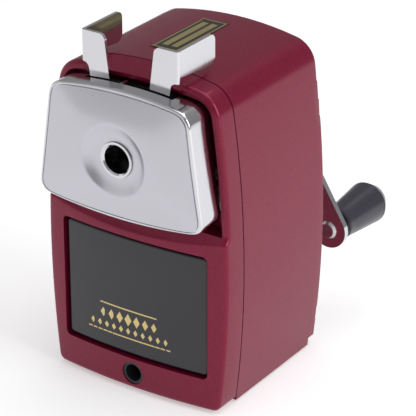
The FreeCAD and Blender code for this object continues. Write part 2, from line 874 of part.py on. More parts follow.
def crank():
    disc = rod(dim("carrier_disc"), (dim("front_wall") - 1.2, dim("front_wall") + 0.6), z=PENCIL)
    trough = tube(12, 9.4, (dim("front_wall"), 13.2), z=PENCIL)
    keep = box((-15, 15), (-25, 20), (PENCIL - 14, PENCIL - 2))
    hub = rod(11.0, (12.6, 17.4), z=PENCIL)
    bore = rod(4.7, (-25, 0), z=PENCIL)
    shaft_hole = rod(dim("shaft_radius"), (13.6, 20), z=PENCIL)
    pin_hole = tilted_rod(dim("cutter_pin"), 33.6, 67.4)
    slots = [box((-4, 4), (y, y + 3.2), (PENCIL - 14, PENCIL - 8)) for y in (-8, -2, 4)]
    whole = fuse(disc, common(trough, keep), hub)
    node("cutter_carrier", cut(whole, bore, shaft_hole, pin_hole, *slots))
    node("cutter_pin", tilted_rod(dim("cutter_pin"), 33.6, 67.4))
    flat_end = dim("arm_front") + dim("arm_gauge") + 4.4
    shaft = fuse(
        rod(dim("shaft_radius"), (13.6, flat_end - 0.4), z=PENCIL),
        tapered(dim("shaft_radius"), dim("shaft_radius") - 0.4, (flat_end - 0.4, flat_end), z=PENCIL))
    node("crank_shaft", shaft)
    collar_span = (dim("cover_rear") + 2.6, dim("arm_front"))
    node("crank_collar", tube(5.2, dim("shaft_radius"), collar_span, z=PENCIL))
    arm_rear = dim("arm_front") + dim("arm_gauge")
    nut = cut(
        common(
            hexagon(8.0, (arm_rear, arm_rear + 3.4), 0, PENCIL),
            tapered(5.2, 4.1, (arm_rear, arm_rear + 3.4), z=PENCIL)),
        rod(dim("shaft_radius"), (40, 60), z=PENCIL))
    node("crank_nut", nut)
    node("crank_arm", crank_arm())


def handle_spot():
    across = dim("arm_reach") * sine(dim("arm_angle"))
    down = dim("arm_reach") * cosine(dim("arm_angle"))
    return across, PENCIL - down


def crank_arm():
    """Flat bar with round ends, tilted from straight down towards +X."""
    x, z = handle_spot()
    span = (dim("arm_front"), dim("arm_front") + dim("arm_gauge"))
    end = dim("arm_end_radius")
    away_x = cosine(dim("arm_angle"))
    away_z = sine(dim("arm_angle"))
    bar = pad([
        (end * away_x, PENCIL + end * away_z),
        (-end * away_x, PENCIL - end * away_z),
        (x - end * away_x, z - end * away_z),
        (x + end * away_x, z + end * away_z),
    ], "xz", span)
    ends = [rod(end, span, z=PENCIL), rod(end, span, x, z=z)]
    holes = [
        rod(dim("shaft_radius"), (span[0] - 1, span[1] + 1), z=PENCIL),
        rod(dim("spindle_radius"), (span[0] - 1, span[1] + 1), x, z=z),
    ]
    return cut(fuse(bar, *ends), *holes)


def knob():
    x, z = handle_spot()
    arm = dim("arm_front")
    rear = dim("knob_rear")
    spindle = fuse(
        tapered(2.6, 3.4, (arm - 1.0, arm), x, z),
        rod(dim("spindle_radius"), (arm, rear - 2.2), x, z=z),
        rod(3.6, (rear - 2.2, rear - 1.0), x, z=z))
    node("knob_spindle", spindle)
    collar_span = (arm + dim("arm_gauge"), dim("knob_front") - 0.3)
    node("knob_collar", tube(4.6, dim("spindle_radius"), collar_span, x, z))
    front = dim("knob_front")
    bore = dim("spindle_radius") + dim("running_gap")
    node("crank_knob", revolve([
        (bore, front),
        (5.6, front),
        (6.1, front + 0.5),
        (6.2, front + 3, (6.9, front + 12)),
        (8.0, rear - 4.0, (7.6, rear - 1.4)),
        (5.8, rear),
        (4.2, rear),
        (4.2, rear - 2.6),
        (bore, rear - 2.6),
    ], x, z))


# ------------------------------------------------------------------ head


def head_outline(inset=0.0):
    """Trapezoid with bulged top and bottom edges, drawn inside the cover's skin by the inset."""
    low = dim("head_bottom") + inset
    high = dim("head_top") - inset
    wide = dim("head_bottom_half") - inset
    narrow = dim("head_top_half") - inset
    return [
        (-wide, low, (0, dim("head_bottom_middle") + inset)),
        (wide, low),
        (narrow, high, (0, dim("head_top_middle") - inset)),
        (-narrow, high),
    ]


def pillow(inset):
    """Two crossed cylinders whose shared part is the head's bulged front, drawn inside by the inset."""
    front = dim("head_front")
    across = dim("pillow_across")
    upright = dim("pillow_upright")
    return common(
        rod(across - inset, (0, 180), 0, front + across, along="z"),
        rod(upright - inset, (-60, 60), 0, front + upright, PENCIL, along="x"))


def face_cover():
    front = dim("head_front")
    rear = dim("head_rear")
    wall = dim("head_wall")
    corner = dim("head_corner")
    outer = common(pad(head_outline(), "xz", (front - 1, rear), corner), pillow(0))
    smooth = fillet_edges(outer, as_size(0.9), front_rim)
    inner = common(pad(head_outline(wall), "xz", (front - 1, rear + 1), corner - wall), pillow(wall))
    boss = rod(14.0, (front + 0.6, front + 4.6), z=PENCIL)
    posts = [rod(2.4, (front + 0.8, rear - 0.8), x, z=z) for x, z in FACE_SCREWS]
    threads = [rod(1.0, (rear - 5.8, rear + 1), x, z=z) for x, z in FACE_SCREWS]
    dish = revolve([
        (0, front - 1),
        (dim("dish_radius") + 0.5, front - 1),
        (dim("dish_radius"), front + 0.3, (9.3, front + 1.3)),
        (6.4, front + dim("dish_depth")),
        (6.4, front + 6),
        (0, front + 6),
    ], z=PENCIL)
    notch_front = dim("lever_front") - 0.8
    outer_end = dim("notch_outer")
    notch_spans = [
        (-outer_end, -dim("notch_left_inner")),
        (-dim("notch_right_inner"), outer_end),
    ]
    notches = [box(span, (notch_front, rear + 1), (108, 120)) for span in notch_spans]
    raised = common(fuse(boss, *posts), pillow(0.2))
    node("face_cover", cut(fuse(cut(smooth, inner), raised), dish, *notches, *threads))


def front_rim(edge):
    return edge.BoundBox.YMax < SIZES["head_front"] + 5.5 and edge.Length > 3


FACE_SCREWS = [(-19.5, 76.5), (19.5, 76.5), (-22.6, 106.0), (22.6, 106.0)]


def head_inside():
    rear = dim("head_rear")
    front = dim("head_front")
    span = (rear - 0.7, rear + 0.8)
    plate = pad(head_outline(dim("head_wall") + 0.1), "xz", span, dim("head_corner") - dim("head_wall") - 0.1)
    pencil = rod(7.5, (-40, -20), z=PENCIL)
    rods = [rod(dim("rod_radius"), (-40, -20), s * dim("rod_side"), z=dim("rod_height")) for s in (-1, 1)]
    pins = [rod(dim("pivot_pin"), (-40, -20), s * dim("pivot_side"), z=dim("pivot_height")) for s in (-1, 1)]
    eyes = [rod(0.5, (-40, -20), s * dim("spring_side"), z=dim("spring_height")) for s in (-1, 1)]
    screws = [rod(1.0, (-40, -20), x, z=z) for x, z in FACE_SCREWS]
    node("head_back", cut(plate, pencil, *rods, *pins, *eyes, *screws))
    fasteners = [screw(2.0, 0.9, 0.95, 5.6, x, rear + 0.8, z, sense=-1) for x, z in FACE_SCREWS]
    node("face_screws", group(*fasteners))

    liner = revolve([
        (dim("pencil_hole"), front + dim("dish_depth") + 0.2),
        (dim("pencil_hole") + 0.5, front + dim("dish_depth") - 0.3),
        (6.3, front + dim("dish_depth") - 0.3),
        (6.3, front + 6.4),
        (dim("pencil_hole"), front + 6.4),
    ], z=PENCIL)
    node("hole_liner", liner)

    rod_list = []
    clip_list = []
    pin_list = []
    for sign in (-1, 1):
        x = sign * dim("rod_side")
        z = dim("rod_height")
        rod_list.append(fuse(
            rod(dim("rod_radius"), (rear - 3.2, dim("rod_rear") - 0.5), x, z=z),
            tapered(
                dim("rod_radius"), dim("rod_radius") - 0.5,
                (dim("rod_rear") - 0.5, dim("rod_rear")), x, z)))
        clip_list.append(tube(3.2, dim("rod_radius"), (rear - 2.2, rear - 0.8), x, z))
        pivot = sign * dim("pivot_side")
        height = dim("pivot_height")
        pin_list.append(fuse(
            rod(dim("pivot_pin"), (dim("lever_front") - 0.3, rear + 0.8), pivot, z=height),
            rod(2.6, (dim("lever_front") + dim("lever_gauge") + 0.1, rear - 0.7), pivot, z=height),
            tapered(2.0, 2.8, (dim("lever_front") - 1.2, dim("lever_front") - 0.3), pivot, height)))
    node("guide_rods", group(*rod_list))
    node("rod_clips", group(*clip_list))
    node("lever_pins", group(*pin_list))

    thing = doc.addObject("Part::Feature", "Spring")
    thing.Shape = coil(1.5, 0.25, -8.2, 8.2, 18, Vector(-8.2, -30.4, 81.6), Vector(1, 0, 0))
    node("jaw_spring", thing)


def lever(name, sign):
    """Bent lever: ear strip, finger pad, pivot eye and the arm that carries the jaw."""
    front = dim("lever_front")
    gauge = dim("lever_gauge")
    top = dim("ear_top")
    pad_side = dim("ear_pad_side")
    strip = pad([
        (sign * 9.4, 104.0),
        (sign * 8.0, 114.7),
        (sign * 9.8, 128.6, (sign * 10.5, top - 0.7)),
        (sign * 12.2, top),
        (sign * pad_side, top),
        (sign * pad_side, 119.8, (sign * 17.3, 119.5)),
        (sign * 16.4, 118.0),
        (sign * 15.9, 114.7),
        (sign * 18.6, 104.0),
        (sign * 18.2, 98.6),
        (sign * 12.2, 90.0),
        (sign * 11.2, 79.8),
        (sign * 8.4, 79.8),
        (sign * 8.4, 94.5),
    ], "xz", (front, front + gauge))
    bore = dim("pivot_pin") + dim("running_gap")
    hole = rod(bore, (-40, -20), sign * dim("pivot_side"), z=dim("pivot_height"))
    low = dim("ear_pad_bottom")
    rear = dim("ear_pad_rear")
    inner = sign * (pad_side - gauge)
    outer = sign * pad_side
    ear = pad([
        (front, low + 1.2),
        (rear - 3.6, low - 0.6, (rear - 1.0, low + 0.2)),
        (rear, low + 2.8),
        (rear, top - 2.4, (rear - 0.7, top - 0.7)),
        (rear - 2.4, top),
        (front, top),
    ], "yz", sorted_span(inner, outer))
    joined = cut(fuse(strip, ear), hole)

    def bend(edge):
        middle = edge.CenterOfMass
        at_side = abs(abs(middle.x) - SIZES["ear_pad_side"]) < 0.05
        on_bend = at_side and abs(middle.y - SIZES["lever_front"]) < 0.05
        return on_bend and edge.Length > 4

    node(name, fillet_edges(joined, as_size(1.0), bend))


def jaw(name, sign):
    """Gripping pad pressed on the lever's arm, with a row of teeth towards the pencil."""
    edge = dim("pencil_hole") + 0.6
    height = PENCIL
    outline = [(sign * 8.4, height - 5), (sign * 8.4, height + 3.0), (sign * edge, height + 3.0)]
    for step in range(4):
        z = 1.6 - 2.0 * step
        outline.append((sign * (edge + 0.7), height + z + 0.6))
        outline.append((sign * edge, height + z - 0.4))
    outline.append((sign * edge, height - 5))
    node(name, pad(outline, "xz", (dim("lever_front") - 1.4, dim("lever_front") + dim("lever_gauge"))))


# ------------------------------------------------------------------ drawer


def drawer():
    half = dim("drawer_half")
    low = dim("drawer_bottom")
    high = dim("drawer_top")
    front = dim("drawer_front")
    rear = dim("drawer_rear")
    wall = dim("drawer_wall")
    block = pad(rectangle(half, low, high), "xz", (front - 1, rear), 1.6)
    bow = rod(dim("front_bow"), (0, 80), 0, front + dim("front_bow"), along="z")
    solid = fillet_edges(common(block, bow), as_size(1.1), drawer_rim)
    hollow = pad(
        rectangle(half - wall, front + 4.2, rear - wall), "xy", (low + wall, high + 2), 3.0)
    sides_down = box((-40, 40), (front + 5.5, rear + 1), (high - 3.0, high + 3))
    node("drawer_tray", cut(solid, hollow, sides_down))


def drawer_rim(edge):
    return edge.BoundBox.YMax < SIZES["drawer_front"] + 3


# ------------------------------------------------------------------ build and write


def build():
    body_shell()
    front_frame()
    rear_cover()
    base()
    drawer_rails()
    chassis()
    chip_chute()
    return_springs()
    ring_gear()
    cutter_and_pinion()
    crank()
    knob()
    face_cover()
    head_inside()
    lever("lever_left", -1)
    lever("lever_right", 1)
    jaw("jaw_pad_left", -1)
    jaw("jaw_pad_right", 1)
    drawer()
    doc.recompute()


def check_and_write():
    faults = [thing.Name for thing in doc.Objects if {"Invalid", "Error"} & set(thing.State)]
    if faults:
        raise RuntimeError("features that failed: %s" % faults)
    os.makedirs("parts", exist_ok=True)
    for name, thing in nodes.items():
        shape = thing.Shape
        if shape.isNull() or not shape.isValid() or not shape.Solids:
            raise RuntimeError("bad shape: %s" % name)
        shape.exportStep("parts/%s.step" % name)
        bounds = shape.BoundBox
        print("%-20s %d solids  x %6.1f %6.1f  y %6.1f %6.1f  z %6.1f %6.1f" % (
            name, len(shape.Solids), bounds.XMin, bounds.XMax,
            bounds.YMin, bounds.YMax, bounds.ZMin, bounds.ZMax))


build()
check_and_write()
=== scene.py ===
import json
import math

import bmesh
import bpy
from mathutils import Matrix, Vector

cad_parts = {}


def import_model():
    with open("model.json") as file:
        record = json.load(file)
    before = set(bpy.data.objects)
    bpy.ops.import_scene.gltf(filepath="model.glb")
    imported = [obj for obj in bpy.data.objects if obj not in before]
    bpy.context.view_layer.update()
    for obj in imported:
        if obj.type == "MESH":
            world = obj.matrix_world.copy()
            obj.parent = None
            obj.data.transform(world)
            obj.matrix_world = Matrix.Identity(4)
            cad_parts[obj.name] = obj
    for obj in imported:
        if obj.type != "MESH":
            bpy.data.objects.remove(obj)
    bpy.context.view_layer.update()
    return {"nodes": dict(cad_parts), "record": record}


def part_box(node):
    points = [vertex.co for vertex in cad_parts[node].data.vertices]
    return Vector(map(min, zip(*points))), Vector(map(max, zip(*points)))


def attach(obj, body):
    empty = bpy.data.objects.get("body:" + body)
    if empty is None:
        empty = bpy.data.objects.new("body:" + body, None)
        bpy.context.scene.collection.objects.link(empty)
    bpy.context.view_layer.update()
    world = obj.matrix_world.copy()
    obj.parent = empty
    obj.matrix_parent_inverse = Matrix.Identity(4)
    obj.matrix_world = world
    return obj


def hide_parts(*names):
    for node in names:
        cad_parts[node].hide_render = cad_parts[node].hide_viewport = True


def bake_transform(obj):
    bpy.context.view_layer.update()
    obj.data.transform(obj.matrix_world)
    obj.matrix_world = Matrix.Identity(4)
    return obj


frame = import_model()

MM = 0.001
NODES = frame["nodes"]
FRONT_OF = {name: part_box(name)[0][1] / MM for name in ("face_cover", "drawer_tray")}
HEAD_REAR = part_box("face_cover")[1][1] / MM
HEAD_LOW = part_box("face_cover")[0][2] / MM
HEAD_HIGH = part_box("face_cover")[1][2] / MM
CROWN_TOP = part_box("body_shell")[1][2] / MM
MOUNTS = {mount["name"]: mount for mount in frame["record"]["mounts"]}
PENCIL_Z = MOUNTS["pencil_entry"]["pos_m"][2]


# ------------------------------------------------------------------ materials

COAT_ROUGHNESS = 0.05


def new_material(name, colour, metallic=0.0, roughness=0.4, coat=0.0):
    material = bpy.data.materials.new(name)
    material.use_nodes = True
    shader = material.node_tree.nodes["Principled BSDF"]
    shader.inputs["Base Color"].default_value = (*colour, 1.0)
    shader.inputs["Metallic"].default_value = metallic
    shader.inputs["Roughness"].default_value = roughness
    shader.inputs["Coat Weight"].default_value = coat
    shader.inputs["Coat Roughness"].default_value = COAT_ROUGHNESS
    return material


def shader_of(material):
    return material.node_tree.nodes["Principled BSDF"]


def add_node(material, kind, **settings):
    node = material.node_tree.nodes.new(kind)
    for key, value in settings.items():
        if key in node.inputs:
            node.inputs[key].default_value = value
        else:
            setattr(node, key, value)
    return node


def link(material, source, target):
    material.node_tree.links.new(source, target)


def object_noise(material, scale, detail=3.0, stretch=(1, 1, 1)):
    """Noise fixed to the object; returns its value output."""
    place = add_node(material, "ShaderNodeTexCoord")
    mapping = add_node(material, "ShaderNodeMapping")
    mapping.inputs["Scale"].default_value = stretch
    noise = add_node(material, "ShaderNodeTexNoise", Scale=scale, Detail=detail)
    link(material, place.outputs["Object"], mapping.inputs["Vector"])
    link(material, mapping.outputs["Vector"], noise.inputs["Vector"])
    return noise.outputs["Fac"]


def spread(material, value, low, high):
    """Map a 0..1 value to a range."""
    ramp = add_node(material, "ShaderNodeMapRange")
    ramp.inputs["From Min"].default_value = 0.3
    ramp.inputs["From Max"].default_value = 0.7
    ramp.inputs["To Min"].default_value = low
    ramp.inputs["To Max"].default_value = high
    link(material, value, ramp.inputs["Value"])
    return ramp.outputs["Result"]


def vary_roughness(material, scale, low, high, stretch=(1, 1, 1)):
    value = object_noise(material, scale, stretch=stretch)
    link(material, spread(material, value, low, high), shader_of(material).inputs["Roughness"])


def add_bump(material, scale, strength, distance, stretch=(1, 1, 1)):
    bump = add_node(material, "ShaderNodeBump")
    bump.inputs["Strength"].default_value = strength
    bump.inputs["Distance"].default_value = distance
    link(material, object_noise(material, scale, stretch=stretch), bump.inputs["Height"])
    link(material, bump.outputs["Normal"], shader_of(material).inputs["Normal"])


def mix_colours(material, value, first, second):
    """Blend two base colours; inputs 6 and 7 are the Mix node's colour pair."""
    mix = add_node(material, "ShaderNodeMix", data_type="RGBA")
    mix.inputs[6].default_value = (*first, 1.0)
    mix.inputs[7].default_value = (*second, 1.0)
    link(material, value, mix.inputs["Factor"])
    link(material, mix.outputs[2], shader_of(material).inputs["Base Color"])


def red_paint():
    """Metallic wine red under clear lacquer, with fine flakes."""
    material = new_material("red_paint", (0.24, 0.006, 0.035), metallic=0.35, roughness=0.33, coat=0.3)
    shader_of(material).inputs["Specular IOR Level"].default_value = 0.2
    place = add_node(material, "ShaderNodeTexCoord")
    flakes = add_node(material, "ShaderNodeTexVoronoi", Scale=5200.0)
    link(material, place.outputs["Object"], flakes.inputs["Vector"])
    split = add_node(material, "ShaderNodeSeparateColor")
    link(material, flakes.outputs["Color"], split.inputs["Color"])
    share = spread(material, split.outputs["Red"], 0.0, 1.0)
    mix_colours(material, share, (0.16, 0.003, 0.024), (0.23, 0.006, 0.036))
    roughness = spread(material, split.outputs["Green"], 0.28, 0.40)
    link(material, roughness, shader_of(material).inputs["Roughness"])
    return material


def satin_metal():
    material = new_material("satin_face", (0.54, 0.535, 0.575), metallic=1.0, roughness=0.33)
    vary_roughness(material, 900.0, 0.28, 0.36)
    return material


def polished(name, colour, low, high):
    """Bright metal whose roughness drifts between low and high."""
    material = new_material(name, colour, metallic=1.0, roughness=0.06)
    vary_roughness(material, 60.0, low, high)
    return material


def brushed(name, colour, low, high, stretch):
    """Metal with fine scratches drawn out along one axis."""
    material = new_material(name, colour, metallic=1.0, roughness=(low + high) / 2)
    vary_roughness(material, 400.0, low, high, stretch)
    add_bump(material, 700.0, 0.15, 0.00004, stretch)
    return material


def plain(name, colour, roughness, scale=300.0, bump=0.1, metallic=0.0):
    """Moulded or cast surface with a fine grain."""
    material = new_material(name, colour, metallic, roughness)
    vary_roughness(material, scale, roughness * 0.9, min(1.0, roughness * 1.15))
    if bump > 0:
        add_bump(material, scale * 4, bump, 0.00005)
    return material


def smoked_plastic():
    """Dark smoked plastic with a glossy surface."""
    material = new_material("smoke_plastic", (0.012, 0.011, 0.017), roughness=0.12, coat=0.1)
    share = spread(material, object_noise(material, 25.0), 0.0, 1.0)
    mix_colours(material, share, (0.010, 0.009, 0.015), (0.015, 0.014, 0.020))
    vary_roughness(material, 40.0, 0.10, 0.16)
    return material


def white_floor():
    """Pale matt paper with a faint glow, so it stays white under soft light."""
    material = plain("floor", (0.86, 0.86, 0.87), 0.6, scale=3.0, bump=0.0)
    shader_of(material).inputs["Emission Color"].default_value = (1.0, 1.0, 1.0, 1.0)
    shader_of(material).inputs["Emission Strength"].default_value = 0.40
    return material


def build_materials():
    return {
        "red_paint": red_paint(),
        "satin_face": satin_metal(),
        "chrome": polished("chrome", (0.64, 0.64, 0.665), 0.10, 0.17),
        "steel": brushed("steel", (0.50, 0.50, 0.52), 0.25, 0.36, (1, 6, 1)),
        "dark_steel": plain("dark_steel", (0.035, 0.035, 0.04), 0.45, metallic=0.4),
        "gear_steel": brushed("gear_steel", (0.40, 0.40, 0.41), 0.3, 0.42, (1, 8, 1)),
        "cutter_steel": brushed("cutter_steel", (0.48, 0.48, 0.50), 0.18, 0.3, (1, 10, 1)),
        "brass": brushed("brass", (0.70, 0.50, 0.20), 0.25, 0.35, (1, 6, 1)),
        "smoke_plastic": smoked_plastic(),
        "black_plastic": plain("black_plastic", (0.02, 0.02, 0.022), 0.5),
        "grey_plastic": plain("grey_plastic", (0.034, 0.033, 0.045), 0.28, bump=0.03),
        "white_plastic": plain("white_plastic", (0.62, 0.61, 0.57), 0.5),
        "rubber": plain("rubber", (0.018, 0.018, 0.018), 0.8),
        "zinc": plain("zinc", (0.42, 0.42, 0.43), 0.42, metallic=0.9),
        "gold": polished("gold", (0.62, 0.50, 0.22), 0.28, 0.36),
        "badge_black": plain("badge_black", (0.015, 0.014, 0.013), 0.4, bump=0.0),
        "floor": white_floor(),
    }


MATERIALS = build_materials()


def dress_frame():
    """Give each CAD node its slot's material and smooth shading with sharp edges kept."""
    slots = {entry["node"]: entry["material_slot"] for entry in frame["record"]["subparts"]}
    for name, thing in NODES.items():
        thing.data.materials.clear()
        thing.data.materials.append(MATERIALS[slots[name]])
        weld = thing.modifiers.new("weld", "WELD")
        weld.merge_threshold = 0.000002
        soften(thing, 28)


def soften(thing, degrees):
    """Smooth shading except across edges sharper than the angle."""
    for face in thing.data.polygons:
        face.use_smooth = True
    split = thing.modifiers.new("edges", "EDGE_SPLIT")
    split.split_angle = math.radians(degrees)
    split.use_edge_sharp = False


def add_piece(name, mesh, body, material):
    """Put a mesh in the scene as a piece that rides on one body."""
    thing = bpy.data.objects.new(name, mesh)
    bpy.context.scene.collection.objects.link(thing)
    thing.data.materials.append(MATERIALS[material])
    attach(thing, body)
    return thing


# ------------------------------------------------------------------ head cover

HEAD = {
    "bottom": HEAD_LOW + 3.0,
    "bottom_half": 33.7,
    "bottom_middle": HEAD_LOW,
    "top": HEAD_HIGH - 2.4,
    "top_half": 27.9,
    "top_middle": HEAD_HIGH,
    "corner": 4.5,
    "front": FRONT_OF["face_cover"],
    "rear": HEAD_REAR,
    "notch_front": -31.8,
    "wall": 1.2,
    "dish": 12.3,
    "dish_depth": 2.4,
    "hole": 6.4,
}


NOTCHES = ((-17.8, -3.4), (-2.2, 17.8))  # x ranges left open for the two levers
BAND_STEPS = (5, 3)  # rings from the rim to the notches' front, then to the rear edge
OUTLINE_POINTS = 192
EDGE_STEPS = 40  # points along each of the outline's four edges before rounding
CORNER_STEPS = 12
TOP_EDGE_ABOVE = 105  # outline points higher than this and clear of the corners lie on the top edge

# The pillow climbs from each edge at its own slope up to a flat, and the slopes meet in soft ridges.
PILLOW_SLOPE = {"top": 0.30, "bottom": 0.24, "side": 0.22}
PILLOW_START = 0.25
PILLOW_FLAT = 3.55
RIDGE_SOFTNESS = 0.42

RIM_SET_BACK = 3.46  # from the face's foremost point back to the rim
LEAN = {"depth": 1.3, "from": 88.0, "span": 27.0, "half": 30.0}  # how the top edge's middle leans back
DISH_MARGIN = 0.7
FLAT_MARGIN = 1.4
FACE_INSET = 1.6  # from the outline in to the edge of the pressed face
MOUTH_DEPTH = 3.6


def edge_height(x, low, middle, half):
    """Height of a bulged horizontal edge at x."""
    return middle + (low - middle) * (x / half) ** 2


def head_outline(count):
    """Evenly spaced points round the head's front outline, in mm, anticlockwise from the right middle."""
    corners = []
    for sign_x, sign_z in ((1, 1), (-1, 1), (-1, -1), (1, -1)):
        half = HEAD["top_half"] if sign_z > 0 else HEAD["bottom_half"]
        level = HEAD["top"] if sign_z > 0 else HEAD["bottom"]
        corners.append((sign_x * half, level))
    path = []
    steps = EDGE_STEPS
    for step in range(steps):
        share = step / steps
        path.append(lerp_point(corners[3], corners[0], share))
    for step in range(steps):
        x = corners[0][0] + (corners[1][0] - corners[0][0]) * step / steps
        path.append((x, edge_height(x, HEAD["top"], HEAD["top_middle"], HEAD["top_half"])))
    for step in range(steps):
        path.append(lerp_point(corners[1], corners[2], step / steps))
    for step in range(steps):
        x = corners[2][0] + (corners[3][0] - corners[2][0]) * step / steps
        path.append((x, edge_height(x, HEAD["bottom"], HEAD["bottom_middle"], HEAD["bottom_half"])))
    rounded = round_corners(path, [0, steps, 2 * steps, 3 * steps])
    return resample(rounded, count)


def lerp_point(first, last, share):
    return (first[0] + (last[0] - first[0]) * share, first[1] + (last[1] - first[1]) * share)


def round_corners(path, corner_indices):
    """Replace the path near each corner by a quadratic curve."""
    reach = HEAD["corner"] * 1.05
    result = []
    total = len(path)
    for index, point in enumerate(path):
        close = [c for c in corner_indices if distance(path[c], point) < reach]
        if not close:
            result.append(point)
            continue
        corner = close[0]
        if index != corner:
            continue
        before = step_from(path, corner, -1, reach, total)
        after = step_from(path, corner, 1, reach, total)
        for step in range(CORNER_STEPS + 1):
            share = step / CORNER_STEPS
            first = lerp_point(before, path[corner], share)
            last = lerp_point(path[corner], after, share)
            result.append(lerp_point(first, last, share))
    return result


def distance(first, last):
    return math.hypot(first[0] - last[0], first[1] - last[1])


def step_from(path, corner, sense, reach, total):
    """The spot at a reach from a corner along one of its two edges."""
    few_points = 6
    neighbour = path[(corner + sense * few_points) % total]
    share = reach / distance(path[corner], neighbour)
    return lerp_point(path[corner], neighbour, share)


def resample(path, count):
    """Points at even spacing along a closed path."""
    lengths = [distance(path[i], path[(i + 1) % len(path)]) for i in range(len(path))]
    whole = sum(lengths)
    points = []
    index = 0
    passed = 0.0
    for step in range(count):
        goal = whole * step / count
        while passed + lengths[index] < goal:
            passed += lengths[index]
            index += 1
        share = (goal - passed) / lengths[index]
        points.append(lerp_point(path[index], path[(index + 1) % len(path)], share))
    return points


def smooth_min(values, softness):
    """The least of the values, rounded off where two of them are close."""
    total = sum(math.exp(-v / softness) for v in values)
    return -softness * math.log(total)


def face_rise(x, z):
    """How far the pillow stands in front of its rim, in mm."""
    top = edge_height(x, HEAD["top"], HEAD["top_middle"], HEAD["top_half"])
    bottom = edge_height(x, HEAD["bottom"], HEAD["bottom_middle"], HEAD["bottom_half"])
    share = (z - HEAD["bottom"]) / (HEAD["top"] - HEAD["bottom"])
    half = HEAD["bottom_half"] + (HEAD["top_half"] - HEAD["bottom_half"]) * share
    slopes = [
        PILLOW_SLOPE["top"] * (top - z) + PILLOW_START,
        PILLOW_SLOPE["bottom"] * (z - bottom) + PILLOW_START,
        PILLOW_SLOPE["side"] * (half - x) + PILLOW_START,
        PILLOW_SLOPE["side"] * (half + x) + PILLOW_START,
        PILLOW_FLAT,
    ]
    return smooth_min(slopes, RIDGE_SOFTNESS)


def rim_depth(x, z):
    """Y of the rim: the middle of the top edge lies further back."""
    lift = max(0.0, (z - LEAN["from"]) / LEAN["span"])
    middle = max(0.0, 1 - (x / LEAN["half"]) ** 2)
    return HEAD["front"] + RIM_SET_BACK + LEAN["depth"] * lift * lift * middle


def face_depth(x, z):
    """Y of the front surface, with the dish pressed into its middle."""
    radius = math.hypot(x, z - PENCIL_Z / MM)
    surface = rim_depth(x, z) - face_rise(x, z)
    floor = HEAD["front"] + HEAD["dish_depth"]
    share = min(1.0, max(0.0, (radius - HEAD["hole"]) / (HEAD["dish"] + DISH_MARGIN - HEAD["hole"])))
    eased = share ** 2.6 * (1 + 0.6 * (1 - share))
    return floor + (surface - floor) * min(1.0, eased)


def head_cover():
    """Pressed face with a grooved and rolled rim, and a side band with two notches for the levers."""
    outline = snap_to_notches(head_outline(OUTLINE_POINTS))
    face = face_rings(outline)
    rim = rim_rings(outline)
    band = band_rings(rim[-1])
    levels = face + rim + band
    first_notched = len(levels) - BAND_STEPS[1] - 1
    mesh = rings_to_mesh("head_face", levels, first_notched)
    thing = add_piece("head_face", mesh, "head", "satin_face")
    thing.data.materials.append(MATERIALS["chrome"])
    chrome_from = (len(face) - 1) * len(outline)
    for number, polygon in enumerate(thing.data.polygons):
        polygon.material_index = 1 if number >= chrome_from else 0
    solid = thing.modifiers.new("wall", "SOLIDIFY")
    solid.thickness = HEAD["wall"] * MM
    solid.offset = -1.0
    soften(thing, 35)
    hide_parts("face_cover")


def snap_to_notches(outline):
    """Move the nearest top-edge points onto the ends of the notches."""
    points = list(outline)
    for end in (x for notch in NOTCHES for x in notch):
        reach = HEAD["top_half"] - 5
        on_top = [i for i, (x, z) in enumerate(points) if z > TOP_EDGE_ABOVE and abs(x) < reach]
        nearest = min(on_top, key=lambda i: abs(points[i][0] - end))
        points[nearest] = (end, edge_height(end, HEAD["top"], HEAD["top_middle"], HEAD["top_half"]))
    return points


def face_rings(outline):
    """Rings from the hole's mouth out to the rim's groove, each point on the face's surface."""
    centre = (0.0, PENCIL_Z / MM)
    inner_steps = 10
    outer_steps = 26
    flat = HEAD["dish"] + FLAT_MARGIN
    rings = []
    for step in range(inner_steps):
        radius = HEAD["hole"] + (flat - HEAD["hole"]) * step / inner_steps
        rings.append([ring_point(centre, point, radius) for point in outline])
    for step in range(outer_steps + 1):
        share = step / outer_steps
        ring = []
        for point in outline:
            first = ring_point(centre, point, flat)
            last = pulled_in(centre, point, FACE_INSET)
            ring.append(lerp_point(first, last, share))
        rings.append(ring)
    levels = [[(x, face_depth(x, z), z) for x, z in ring] for ring in rings]
    mouth = [(x, y + MOUTH_DEPTH, z) for x, y, z in levels[0]]
    return [mouth] + levels


def rim_rings(outline):
    """A narrow groove round the face, then a bead that rolls over into the side band."""
    centre = (0.0, PENCIL_Z / MM)
    bead = 0.9
    profile = [(1.5, 0.35), (1.25, 0.35), (1.1, -0.05)]
    for turn in (0, 20, 45, 70, 90):
        angle = math.radians(turn)
        profile.append((bead * (1 - math.sin(angle)), bead * (1 - math.cos(angle))))
    rings = []
    for inset, drop in profile:
        ring = []
        for point in outline:
            x, z = pulled_in(centre, point, inset)
            ring.append((x, face_depth(*pulled_in(centre, point, bead)) + drop, z))
        rings.append(ring)
    return rings


def band_rings(start):
    """Rings from the rim back to the notches' front, then to the head's rear edge."""
    rings = []
    front = start
    for goal, steps in zip((HEAD["notch_front"], HEAD["rear"]), BAND_STEPS):
        for step in range(1, steps + 1):
            share = step / steps
            rings.append([(x, y + (goal - y) * share, z) for x, y, z in front])
        front = rings[-1]
    return rings


def in_notch(first, last):
    """True when a stretch of the outline lies on top and between the ends of a notch."""
    low = min(first[0], last[0]) + 0.01
    high = max(first[0], last[0]) - 0.01
    return first[2] > TOP_EDGE_ABOVE and any(start < low and high < end for start, end in NOTCHES)


def ring_point(centre, point, radius):
    """The spot at a radius from the centre on the way to a point."""
    length = distance(centre, point)
    return lerp_point(centre, point, radius / length)


def pulled_in(centre, point, inset):
    """A point moved towards the centre by an inset."""
    length = distance(centre, point)
    return lerp_point(centre, point, (length - inset) / length)


